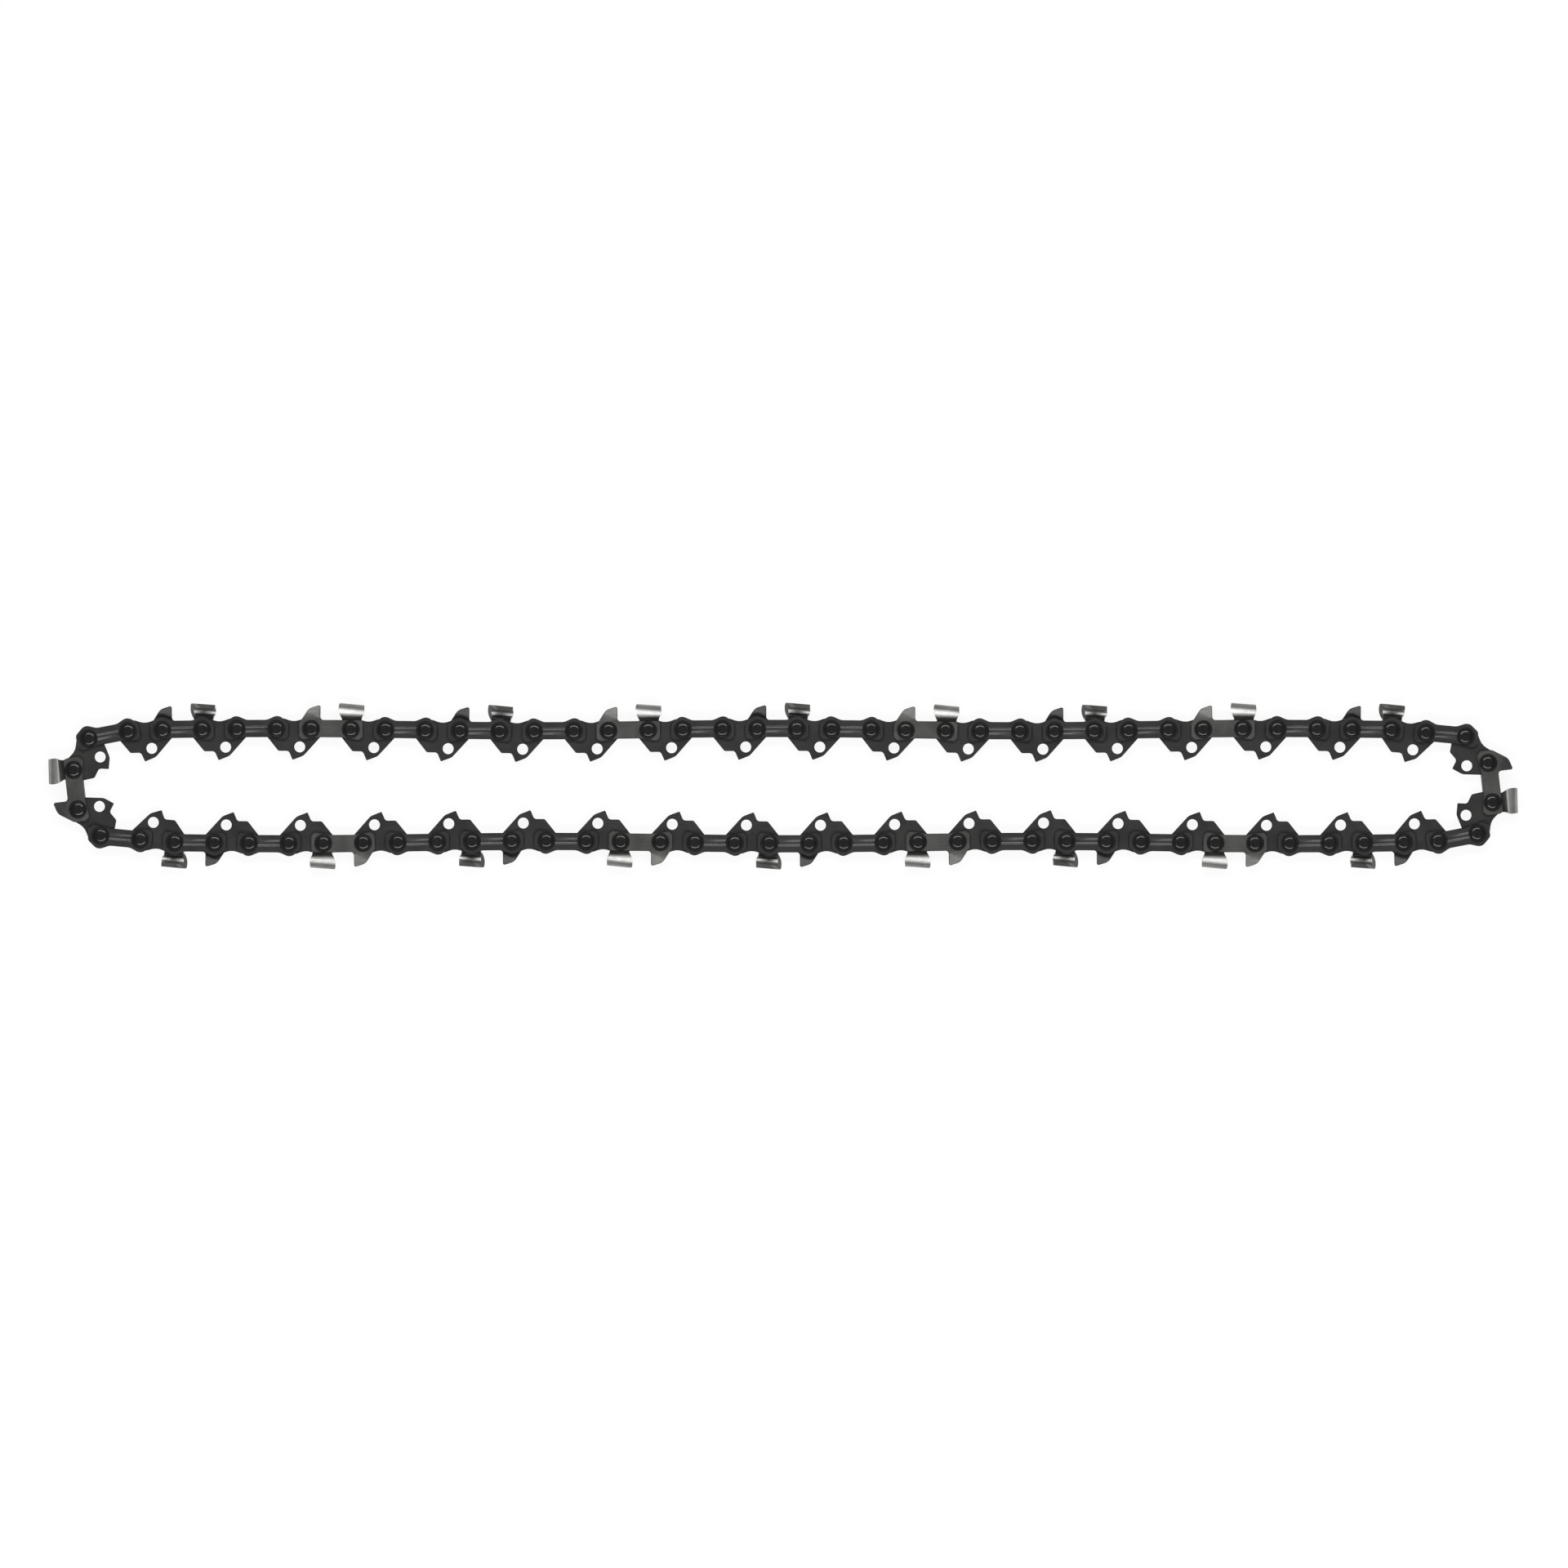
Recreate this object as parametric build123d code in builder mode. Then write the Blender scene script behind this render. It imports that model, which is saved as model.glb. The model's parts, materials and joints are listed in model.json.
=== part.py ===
"""Saw chain loop, three-eighths low profile, lying flat on its side.

Drive links and riveted outer links alternate round a closed loop. An outer link is a pair of plates, either
two tie straps or a cutter and a tie strap, held by two rivets. The drive links turn on the rivets' hubs.
The loop lies in the XY plane, with its long way along X, and rests on Z = 0.
"""

import os
from math import cos, pi, radians, sin, tan

from build123d import *

# Pitch and count
DRIVE_LINKS = 40
DRIVE_PITCH = 8.69  # rivet to rivet in a drive link
OUTER_PITCH = 9.95  # rivet to rivet in a cutter or a tie strap
CUTTER_SPACING = 4  # outer links from one left cutter to the next

# Layers, from the middle of the chain outwards
GAUGE = 1.3  # drive link, which runs in the bar's groove
SIDE_PLAY = 0.08  # between a drive link and the plate beside it
PLATE_THICKNESS = 1.2
HEAD_HEIGHT = 0.5
KERF = 6.0  # over the side plates of the left and right cutters

# Rivets and holes, drawn with flats because there are eighty rivets
HEAD_RADIUS = 2.3
HEAD_FLATS = 8
HUB_RADIUS = 1.95
HUB_FLATS = 4
HOLE_FLATS = 6
PIVOT_PLAY = 0.05

# Plates, measured from the rivets and from the line through them
END_REACH = 3.1
END_FLAT_OUTER = 1.3
END_FLAT_INNER = 1.8
FOOT = 2.7  # the edge that slides on the bar
FOOT_CORNER = 1.0
WAIST_LENGTH = 5.4
WAIST_INNER = 2.05
WAIST_OUTER = 2.35
SHOULDER = 3.3
SHOULDER_OFFSET = 0.5

# Drive link
DRIVE_END_REACH = 2.75
DRIVE_END_ARC = 16  # round about the rivet, in degrees
DRIVE_SHOULDER = 2.7
SADDLE = 1.85  # outer edge, half way between the rivets
TANG_ROOT = 2.6
TANG_DEPTH = 7.7
TANG_STEP = 5.5  # depth of the flat in front of the hook
TANG_STEP_LENGTH = 2.2
TANG_HEEL = 6.6
HEEL_BACK = 2.4  # behind the middle of the link
HOOK_TIP = 0.15  # before the middle of the link
HOOK_WIDTH = 1.5
OIL_HOLE_RADIUS = 1.35
OIL_HOLE_FLATS = 8
OIL_HOLE_BACK = 1.45
OIL_HOLE_DEPTH = 4.5

# Cutter
GAUGE_HEIGHT = 6.05  # tip of the depth gauge above the rivets
GAUGE_TIP = 2.25  # tip behind the front rivet
GAUGE_BROW = 5.1
CUTTER_HEIGHT = 6.65  # leading edge of the top plate above the rivets
NECK_FRONT = 2.15  # neck of the side plate, before and behind the rear rivet
NECK_BACK = 2.75
NECK_HEIGHT = 3.35
TOP_PLATE_FRONT = 2.95  # working corner before the rear rivet
TOP_PLATE_LENGTH = 6.3
TOP_PLATE_THICKNESS = 1.0
TOP_PLATE_REACH = 1.2  # past the middle of the chain
TOP_PLATE_ANGLE = 30  # of the cutting edge, seen from outside the loop
TOP_PLATE_RELIEF = 5  # fall of the top plate towards its back
WORKING_CORNER = 1.15  # bevel between side plate and top plate

# How the loop is laid, going clockwise: the end links lean, the chain turns at the rivets next to them,
# and a slight wave runs along it
END_LEAN = 6.3
TURNS_AFTER_END = (32.6, 53.5, 9)
TURNS_BEFORE_END = (34.7, 44.4, 0.7)
WAVE_TURN = 0.4
WAVES = 3

PLATE_INNER = GAUGE / 2 + SIDE_PLAY
PLATE_OUTER = PLATE_INNER + PLATE_THICKNESS
SIDE_PLATE_OUTER = KERF / 2
SIDE_PLATE_INNER = SIDE_PLATE_OUTER - TOP_PLATE_THICKNESS
FRONT = -OUTER_PITCH / 2
REAR = OUTER_PITCH / 2
PLATE_END = REAR + END_REACH
DRIVE_RIVET = DRIVE_PITCH / 2
DRIVE_END = DRIVE_RIVET + DRIVE_END_REACH

# Edge of every plate towards the bar: a foot under each rivet and a hollow waist between them
BAR_EDGE = [
    (PLATE_END, -END_FLAT_INNER),
    (PLATE_END - FOOT_CORNER, -FOOT),
    (WAIST_LENGTH / 2, -WAIST_INNER),
    (-WAIST_LENGTH / 2, -WAIST_INNER),
    (-PLATE_END + FOOT_CORNER, -FOOT),
    (-PLATE_END, -END_FLAT_INNER),
]


def add_rivets():
    """Add two rivets to an outer link: hubs between its plates and peened heads outside them."""
    with BuildSketch(Plane.XY.offset(-PLATE_INNER)) as hubs:
        with Locations((FRONT, 0), (REAR, 0)):
            RegularPolygon(HUB_RADIUS, HUB_FLATS)
    extrude(hubs.sketch, amount=2 * PLATE_INNER)
    for rivet in (FRONT, REAR):
        for side in (1, -1):
            with BuildSketch(Plane((rivet, 0, side * PLATE_OUTER))) as head:
                RegularPolygon(HEAD_RADIUS, HEAD_FLATS)
            loft([head.sketch.face(), Vertex(rivet, 0, side * (PLATE_OUTER + HEAD_HEIGHT))], ruled=True)


def add_tie_strap(inner_face):
    """Add one tie strap whose lower face lies at the given height over the chain's middle."""
    with BuildSketch(Plane.XY.offset(inner_face)) as strap:
        with BuildLine():
            Polyline(
                (-PLATE_END, END_FLAT_OUTER),
                (FRONT - SHOULDER_OFFSET, SHOULDER),
                (-WAIST_LENGTH / 2, WAIST_OUTER),
                (WAIST_LENGTH / 2, WAIST_OUTER),
                (REAR + SHOULDER_OFFSET, SHOULDER),
                (PLATE_END, END_FLAT_OUTER),
                *BAR_EDGE,
                close=True,
            )
        make_face()
    extrude(strap.sketch, amount=PLATE_THICKNESS)


# Drive link: a flat blank with two rivet holes, and a hooked tang with an oil hole
with BuildPart() as drive_link:
    with BuildSketch(Plane.XY.offset(-GAUGE / 2)):
        with BuildLine():
            front_end = CenterArc((-DRIVE_RIVET, 0), DRIVE_END_REACH, 180 - DRIVE_END_ARC / 2, DRIVE_END_ARC)
            back_end = CenterArc((DRIVE_RIVET, 0), DRIVE_END_REACH, -DRIVE_END_ARC / 2, DRIVE_END_ARC)
            Polyline(
                front_end @ 0,
                (-DRIVE_RIVET, DRIVE_SHOULDER),
                (0, SADDLE),
                (DRIVE_RIVET, DRIVE_SHOULDER),
                back_end @ 1,
            )
            Polyline(
                back_end @ 0,
                (DRIVE_RIVET + DRIVE_END_REACH / 2, -TANG_ROOT),
                (HEEL_BACK, -TANG_HEEL),
                (-HOOK_TIP, -TANG_DEPTH),
                (-HOOK_TIP - HOOK_WIDTH, -TANG_STEP),
                (-HOOK_TIP - HOOK_WIDTH - TANG_STEP_LENGTH, -TANG_STEP),
                (-DRIVE_RIVET - DRIVE_END_REACH / 2, -TANG_ROOT),
                front_end @ 1,
            )
        make_face()
        with Locations((-DRIVE_RIVET, 0), (DRIVE_RIVET, 0)):
            RegularPolygon(HUB_RADIUS + PIVOT_PLAY, HOLE_FLATS, major_radius=False, mode=Mode.SUBTRACT)
        with Locations((OIL_HOLE_BACK, -OIL_HOLE_DEPTH)):
            RegularPolygon(OIL_HOLE_RADIUS, OIL_HOLE_FLATS, mode=Mode.SUBTRACT)
    extrude(amount=GAUGE)

# Plain outer link: a tie strap on each side of the chain
with BuildPart() as tie_straps:
    add_tie_strap(PLATE_INNER)
    add_tie_strap(-PLATE_OUTER)
    add_rivets()

# Left cutter: its plate leans out at the neck to the side plate, which bends over to the top plate
corner_height = CUTTER_HEIGHT - WORKING_CORNER
top_plate_fall = TOP_PLATE_LENGTH * tan(radians(TOP_PLATE_RELIEF))
working_corner = REAR - TOP_PLATE_FRONT
with BuildPart() as left_cutter:
    with BuildSketch(Plane.YZ.offset(working_corner)):
        with BuildLine():
            Polyline(
                (corner_height, SIDE_PLATE_OUTER),
                (CUTTER_HEIGHT, SIDE_PLATE_OUTER - WORKING_CORNER),
                (CUTTER_HEIGHT, -TOP_PLATE_REACH),
                (CUTTER_HEIGHT - TOP_PLATE_THICKNESS, -TOP_PLATE_REACH),
                (CUTTER_HEIGHT - TOP_PLATE_THICKNESS, SIDE_PLATE_INNER),
                (corner_height, SIDE_PLATE_INNER),
                close=True,
            )
        make_face()
    extrude(
        amount=TOP_PLATE_LENGTH / cos(radians(TOP_PLATE_RELIEF)),
        dir=(cos(radians(TOP_PLATE_RELIEF)), -sin(radians(TOP_PLATE_RELIEF)), 0),
    )
    cutting_edge = Plane(
        origin=(working_corner, 0, SIDE_PLATE_OUTER),
        z_dir=(cos(radians(TOP_PLATE_ANGLE)), 0, sin(radians(TOP_PLATE_ANGLE))),
    )
    split(bisect_by=cutting_edge, keep=Keep.TOP)
    with BuildSketch(Plane.XY.offset(SIDE_PLATE_INNER)):
        with BuildLine():
            Polyline(
                (REAR - NECK_FRONT, NECK_HEIGHT),
                (working_corner, corner_height),
                (working_corner + TOP_PLATE_LENGTH, corner_height - top_plate_fall),
                (REAR + NECK_BACK, NECK_HEIGHT),
                close=True,
            )
        make_face()
    extrude(amount=TOP_PLATE_THICKNESS)
    with BuildSketch(Plane.YZ.offset(REAR - NECK_FRONT)):
        with BuildLine():
            Polyline(
                (WAIST_OUTER, PLATE_INNER),
                (WAIST_OUTER, PLATE_OUTER),
                (NECK_HEIGHT, SIDE_PLATE_OUTER),
                (NECK_HEIGHT, SIDE_PLATE_INNER),
                close=True,
            )
        make_face()
    extrude(amount=NECK_FRONT + NECK_BACK)
    with BuildSketch(Plane.XY.offset(PLATE_INNER)):
        with BuildLine():
            Polyline(
                (-PLATE_END, END_FLAT_OUTER),
                (FRONT, GAUGE_BROW),
                (FRONT + GAUGE_TIP, GAUGE_HEIGHT),
                (FRONT + GAUGE_TIP, WAIST_OUTER),
                (REAR + NECK_BACK, WAIST_OUTER),
                (PLATE_END, END_FLAT_OUTER),
                *BAR_EDGE,
                close=True,
            )
        make_face()
    extrude(amount=PLATE_THICKNESS)
    add_tie_strap(-PLATE_OUTER)
    add_rivets()

# Right cutter: the same, with its side plate on the other side of the chain
with BuildPart() as right_cutter:
    mirror(left_cutter.part, about=Plane.XY)


def turn(rivet):
    """Inward turn, in degrees, between the two links that meet at a rivet.

    Rivets are counted clockwise from the one after the left end link, and the second half of the loop
    repeats the first.
    """
    place = rivet % DRIVE_LINKS
    after = [*TURNS_AFTER_END, 90 + END_LEAN - sum(TURNS_AFTER_END)]
    before = [*TURNS_BEFORE_END, 90 - END_LEAN - sum(TURNS_BEFORE_END)]
    turns = after + [0] * (DRIVE_LINKS - len(after) - len(before)) + before[::-1]
    wave = -WAVE_TURN * cos(2 * pi * WAVES * (place + 0.5) / DRIVE_LINKS)
    return turns[place] + wave


# Lay the links end to end, clockwise from the left end link, which points up
places = []
heading = 90 + END_LEAN
point = Vector(0, 0)
for rivet in range(2 * DRIVE_LINKS):
    pitch = OUTER_PITCH if rivet % 2 == 0 else DRIVE_PITCH
    along = Vector(cos(radians(heading)), sin(radians(heading)))
    places.append((point + along * (pitch / 2), along))
    point += along * pitch
    heading -= turn(rivet)
middle = (places[0][0] + places[DRIVE_LINKS][0]) / 2


def lay(piece, place):
    """Return a link's solid, moved from its own frame to its place in the loop."""
    centre, along = places[place]
    at = centre - middle
    return piece.part.moved(Location(Plane((at.X, at.Y, KERF / 2), x_dir=(along.X, along.Y, 0))))


def write(name, *solids):
    """Write the solids of one node to its own file."""
    with BuildPart() as node:
        add(solids)
    node.part.label = name
    export_step(node.part, f"parts/{name}.step")


# A plain pair of tie straps shares a node with the drive link that lies further from the end of the loop
os.makedirs("parts", exist_ok=True)
drive_links_left = set(range(DRIVE_LINKS))
for outer in range(1, DRIVE_LINKS, 2):
    past_middle = outer % (DRIVE_LINKS // 2) > DRIVE_LINKS // 4
    drive = outer - 1 if past_middle else outer
    drive_links_left.remove(drive)
    write(f"tie_link_{outer // 2 + 1:02d}", lay(tie_straps, 2 * outer), lay(drive_link, 2 * drive + 1))
for number, drive in enumerate(sorted(drive_links_left), start=1):
    write(f"drive_link_{number:02d}", lay(drive_link, 2 * drive + 1))
for outer in range(0, DRIVE_LINKS, CUTTER_SPACING):
    number = outer // CUTTER_SPACING + 1
    write(f"left_cutter_{number:02d}", lay(left_cutter, 2 * outer))
    write(f"right_cutter_{number:02d}", lay(right_cutter, 2 * outer + CUTTER_SPACING))
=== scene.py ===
"""Dresses a saw chain loop: formed cutters, grooved tie straps, hooked drive links and peened rivets.

The chain lies on its side and is seen from straight above. Sizes are in millimetres, and MM turns them
into Blender's metres. A link's own frame has x against its cutting direction, y out of the loop, and z up
from the chain's middle plane.
"""

from __future__ import annotations

import json
import logging
import math
from dataclasses import dataclass
from enum import Enum
from typing import Any, Iterable, NamedTuple, Sequence

import bmesh
import bpy
from mathutils import Matrix, Vector

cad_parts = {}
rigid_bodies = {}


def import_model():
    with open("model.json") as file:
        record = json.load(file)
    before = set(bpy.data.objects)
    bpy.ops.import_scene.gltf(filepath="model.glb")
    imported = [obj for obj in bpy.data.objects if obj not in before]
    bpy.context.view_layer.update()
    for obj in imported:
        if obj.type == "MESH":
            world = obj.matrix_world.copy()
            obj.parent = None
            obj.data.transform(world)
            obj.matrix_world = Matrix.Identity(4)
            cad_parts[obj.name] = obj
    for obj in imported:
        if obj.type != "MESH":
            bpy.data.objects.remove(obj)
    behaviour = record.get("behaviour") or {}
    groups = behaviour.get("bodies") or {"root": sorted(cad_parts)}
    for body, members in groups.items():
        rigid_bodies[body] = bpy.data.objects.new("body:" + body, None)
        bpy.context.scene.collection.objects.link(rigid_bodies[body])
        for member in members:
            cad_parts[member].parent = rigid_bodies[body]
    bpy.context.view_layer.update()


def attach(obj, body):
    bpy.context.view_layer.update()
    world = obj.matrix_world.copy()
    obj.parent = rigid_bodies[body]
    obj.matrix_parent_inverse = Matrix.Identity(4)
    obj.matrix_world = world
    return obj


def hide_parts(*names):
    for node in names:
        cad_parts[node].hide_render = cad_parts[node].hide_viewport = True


LOG = logging.getLogger("saw_chain")
MM = 0.001
GRIND_UV = "grind"
WHITE = (1.0, 1.0, 1.0, 1.0)
# In millimetres: points this close are one, lie on a cut, or count as on a face
MERGE_WITHIN = 1e-4
CUT_WITHIN = 1e-5
NEAR = 0.01
# In degrees: edges that turn more than this stay crisp
SHARP_ANGLE = 32.0


def linear(colour: str) -> tuple[float, float, float, float]:
    """Turn an sRGB hex colour into linear light.

    Args:
        colour: Six hex digits after a number sign.

    Returns:
        Red, green, blue and a full alpha.
    """
    parts = [int(colour[i : i + 2], 16) / 255 for i in (1, 3, 5)]
    values = [c / 12.92 if c <= 0.04045 else ((c + 0.055) / 1.055) ** 2.4 for c in parts]
    return values[0], values[1], values[2], 1.0


def add_node(
    tree: bpy.types.NodeTree, kind: str, inputs: dict[str | int, Any] | None = None, **settings: Any
) -> bpy.types.Node:
    """Add a node with its settings, and link or set its inputs.

    Args:
        tree: The node tree to add to.
        kind: The node's type.
        inputs: Values or output sockets by input name or number.
        **settings: The node's own properties.

    Returns:
        The new node.
    """
    node = tree.nodes.new(kind)
    for key, value in settings.items():
        setattr(node, key, value)
    for key, value in (inputs or {}).items():
        if isinstance(value, bpy.types.NodeSocket):
            tree.links.new(value, node.inputs[key])
        else:
            node.inputs[key].default_value = value
    return node


@dataclass(frozen=True)
class SteelFinish:
    """How one steel surface looks. Colours are sRGB and sizes are in millimetres.

    Real grain and grinding lines are finer than these: they are drawn as coarse as they need to show.
    """

    name: str
    colour: str
    stain: str
    metallic: float
    roughness: tuple[float, float]
    stain_size: float
    grain_size: float
    grain_depth: float
    line_spacing: float
    oil: float

    # Noise over which the colour turns to stain, and relief over which smooth steel turns to rough
    STAIN_RANGE = (0.36, 0.64)
    RELIEF_RANGE = (0.6, 1.4)
    # Grinding lines run twenty times as far along a link as they are apart
    LINE_STRETCH = (0.05, 1.0, 1.0)
    OIL_ROUGHNESS = 0.13

    def build(self) -> bpy.types.Material:
        """Make the material.

        Returns:
            A material with stains, fine grain, lines left by grinding and a film of oil.
        """
        material = bpy.data.materials.new(self.name)
        material.use_nodes = True
        tree = material.node_tree
        tree.nodes.clear()
        colour = self._stained(tree)
        relief = self._relief(tree)
        wear = add_node(
            tree,
            "ShaderNodeMapRange",
            {
                "Value": relief,
                "From Min": self.RELIEF_RANGE[0],
                "From Max": self.RELIEF_RANGE[1],
                "To Min": self.roughness[0],
                "To Max": self.roughness[1],
            },
        )
        bump = add_node(
            tree, "ShaderNodeBump", {"Height": relief, "Distance": self.grain_depth * MM, "Strength": 1.0}
        )
        shader = add_node(
            tree,
            "ShaderNodeBsdfPrincipled",
            {
                "Base Color": colour,
                "Metallic": self.metallic,
                "Roughness": wear.outputs["Result"],
                "Normal": bump.outputs["Normal"],
                "Coat Weight": self.oil,
                "Coat Roughness": self.OIL_ROUGHNESS,
            },
        )
        add_node(tree, "ShaderNodeOutputMaterial", {"Surface": shader.outputs["BSDF"]})
        return material

    def _stained(self, tree: bpy.types.NodeTree) -> bpy.types.NodeSocket:
        """Mix the colour with its stain in soft patches.

        Args:
            tree: The material's node tree.

        Returns:
            The socket that gives the colour.
        """
        place = add_node(tree, "ShaderNodeTexCoord").outputs["Object"]
        patches = add_node(
            tree, "ShaderNodeTexNoise", {"Vector": place, "Scale": 1 / (self.stain_size * MM), "Detail": 4.0}
        )
        share = add_node(
            tree,
            "ShaderNodeMapRange",
            {
                "Value": patches.outputs["Fac"],
                "From Min": self.STAIN_RANGE[0],
                "From Max": self.STAIN_RANGE[1],
            },
        )
        # Sockets of a mix of colours: 0 is its share, 6 and 7 are the colours, and 2 gives the result
        mixed = add_node(
            tree,
            "ShaderNodeMix",
            {0: share.outputs["Result"], 6: linear(self.colour), 7: linear(self.stain)},
            data_type="RGBA",
        )
        return mixed.outputs[2]

    def _relief(self, tree: bpy.types.NodeTree) -> bpy.types.NodeSocket:
        """Add grinding lines along the link to fine grain.

        Args:
            tree: The material's node tree.

        Returns:
            The socket that gives the height.
        """
        flat = add_node(tree, "ShaderNodeUVMap", uv_map=GRIND_UV)
        stretch = add_node(
            tree, "ShaderNodeVectorMath", {0: flat.outputs["UV"], 1: self.LINE_STRETCH}, operation="MULTIPLY"
        )
        lines = add_node(
            tree,
            "ShaderNodeTexNoise",
            {"Vector": stretch.outputs[0], "Scale": 1 / self.line_spacing, "Detail": 2.0},
        )
        place = add_node(tree, "ShaderNodeTexCoord").outputs["Object"]
        grain = add_node(
            tree, "ShaderNodeTexNoise", {"Vector": place, "Scale": 1 / (self.grain_size * MM), "Detail": 2.0}
        )
        relief = add_node(
            tree, "ShaderNodeMath", {0: lines.outputs["Fac"], 1: grain.outputs["Fac"]}, operation="ADD"
        )
        return relief.outputs[0]


class Finish(Enum):
    """The chain's surfaces, in the order of a link's material slots."""

    # Blackened links: near-black satin that still shows its edges
    BLACK_OXIDE_STEEL = SteelFinish(
        name="black_oxide_steel",
        colour="#303031",
        stain="#3b3b3a",
        metallic=0.6,
        roughness=(0.34, 0.5),
        stain_size=5,
        grain_size=0.22,
        grain_depth=0.004,
        line_spacing=0.5,
        oil=0.5,
    )
    # Outside of a cutter's plate: paler and greyer than the links, with lengthwise lines
    GREY_CUTTER_STEEL = SteelFinish(
        name="grey_cutter_steel",
        colour="#61615e",
        stain="#525250",
        metallic=0.75,
        roughness=(0.32, 0.46),
        stain_size=4,
        grain_size=0.2,
        grain_depth=0.003,
        line_spacing=0.35,
        oil=0.3,
    )
    # Side plate and top plate: bright satin, the palest piece of the chain
    HARD_CHROME = SteelFinish(
        name="hard_chrome",
        colour="#cfcfcc",
        stain="#c0c0be",
        metallic=1.0,
        roughness=(0.36, 0.46),
        stain_size=3,
        grain_size=0.3,
        grain_depth=0.0008,
        line_spacing=0.3,
        oil=0.0,
    )
    # Peened rivet heads: the darkest and smoothest of the blackened pieces
    RIVET_STEEL = SteelFinish(
        name="rivet_steel",
        colour="#121213",
        stain="#1a1a19",
        metallic=0.7,
        roughness=(0.26, 0.4),
        stain_size=2,
        grain_size=0.2,
        grain_depth=0.002,
        line_spacing=0.4,
        oil=1.0,
    )

    @property
    def slot(self) -> int:
        """Number of the finish in a link's material slots."""
        return list(Finish).index(self)


@dataclass(frozen=True)
class ChainSize:
    """Sizes of the chain and of how it is laid, in millimetres and degrees."""

    # Number of drive links, and how many of them lie between a cutter and the next of its hand
    drive_links: int = 40
    cutter_spacing: int = 4
    # Between the two rivets of a drive link and of an outer link
    drive_pitch: float = 8.69
    outer_pitch: float = 9.95
    # Across the chain: drive link, play beside it, plate, and all of it over the cutters
    gauge: float = 1.3
    side_play: float = 0.08
    plate: float = 1.2
    kerf: float = 6.0
    # Edge of a stamping, broken by tumbling
    broken_edge: float = 0.14
    # Reach of a plate past its rivet
    end_reach: float = 3.1
    # Lean of an end link, turns at the rivets after and before it, and the wave along the runs
    end_lean: float = 6.3
    turns_after_end: tuple[float, ...] = (32.6, 53.5, 9.0)
    turns_before_end: tuple[float, ...] = (34.7, 44.4, 0.7)
    wave_turn: float = 0.4
    waves: int = 3

    @property
    def plate_inner(self) -> float:
        """Inner face of a plate over the chain's middle."""
        return self.gauge / 2 + self.side_play

    @property
    def plate_outer(self) -> float:
        """Outer face of a plate over the chain's middle."""
        return self.plate_inner + self.plate

    @property
    def rear(self) -> float:
        """Rear rivet of an outer link, from its middle."""
        return self.outer_pitch / 2

    @property
    def plate_end(self) -> float:
        """End of a plate, from its middle."""
        return self.rear + self.end_reach


class Station(NamedTuple):
    """Where one link lies: its middle in millimetres and its heading in radians."""

    x: float
    y: float
    heading: float
    drive: bool


class LoopLay:
    """Places of all links round the loop, clockwise from the left end link."""

    def __init__(self, size: ChainSize) -> None:
        """Lay the loop.

        Args:
            size: Sizes of the chain.
        """
        self.size = size
        self.stations, self.rivets = self._walk()

    def turn(self, rivet: int) -> float:
        """Inward turn at a rivet.

        Args:
            rivet: Number of the rivet, clockwise from the left end link.

        Returns:
            The turn in degrees.
        """
        size = self.size
        place = rivet % size.drive_links
        after = [*size.turns_after_end, 90 + size.end_lean - sum(size.turns_after_end)]
        before = [*size.turns_before_end, 90 - size.end_lean - sum(size.turns_before_end)]
        straight = [0.0] * (size.drive_links - len(after) - len(before))
        turns = after + straight + before[::-1]
        phase = math.tau * size.waves * (place + 0.5) / size.drive_links
        return turns[place] - size.wave_turn * math.cos(phase)

    def _walk(self) -> tuple[list[Station], list[Vector]]:
        """Lay the links end to end.

        Returns:
            The stations, and the rivet after each of them, about the loop's middle.
        """
        heading = math.radians(90 + self.size.end_lean)
        point = Vector((0, 0))
        laid, rivets = [], []
        for rivet in range(2 * self.size.drive_links):
            drive = rivet % 2 == 1
            pitch = self.size.drive_pitch if drive else self.size.outer_pitch
            along = Vector((math.cos(heading), math.sin(heading)))
            laid.append((point + along * pitch / 2, heading, drive))
            point = point + along * pitch
            rivets.append(point)
            heading -= math.radians(self.turn(rivet))
        middle = (laid[0][0] + laid[self.size.drive_links][0]) / 2
        stations = [Station(*(at - middle), turned, drive) for at, turned, drive in laid]
        return stations, [rivet - middle for rivet in rivets]

    def bodies(self) -> dict[str, list[int]]:
        """Which places each body holds.

        Returns:
            Places by body name: one for each body, and for a tie link also that of the drive link which
            it holds, the one towards the middle of its run.
        """
        count, spacing = self.size.drive_links, self.size.cutter_spacing
        held: dict[str, list[int]] = {}
        free = set(range(count))
        for outer in range(1, count, 2):
            past_middle = outer % (count // 2) > count // 4
            drive = outer - 1 if past_middle else outer
            free.remove(drive)
            held[f"tie_link_{outer // 2 + 1:02d}"] = [2 * outer, 2 * drive + 1]
        for number, drive in enumerate(sorted(free), start=1):
            held[f"drive_link_{number:02d}"] = [2 * drive + 1]
        for number, outer in enumerate(range(0, count, spacing), start=1):
            held[f"left_cutter_{number:02d}"] = [2 * outer]
            held[f"right_cutter_{number:02d}"] = [2 * outer + spacing]
        return held


class Corner(NamedTuple):
    """A corner of an outline with the radius it is rounded to."""

    x: float
    y: float
    radius: float

    def past(self, x: float) -> Corner:
        """The corner that lies as far past x as this one lies past the middle."""
        return self._replace(x=self.x + x)


def mirrored(corners: Sequence[Corner]) -> list[Corner]:
    """The same corners at the other end of a link, in the order that an outline goes on."""
    return [corner._replace(x=-corner.x) for corner in reversed(corners)]


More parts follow.
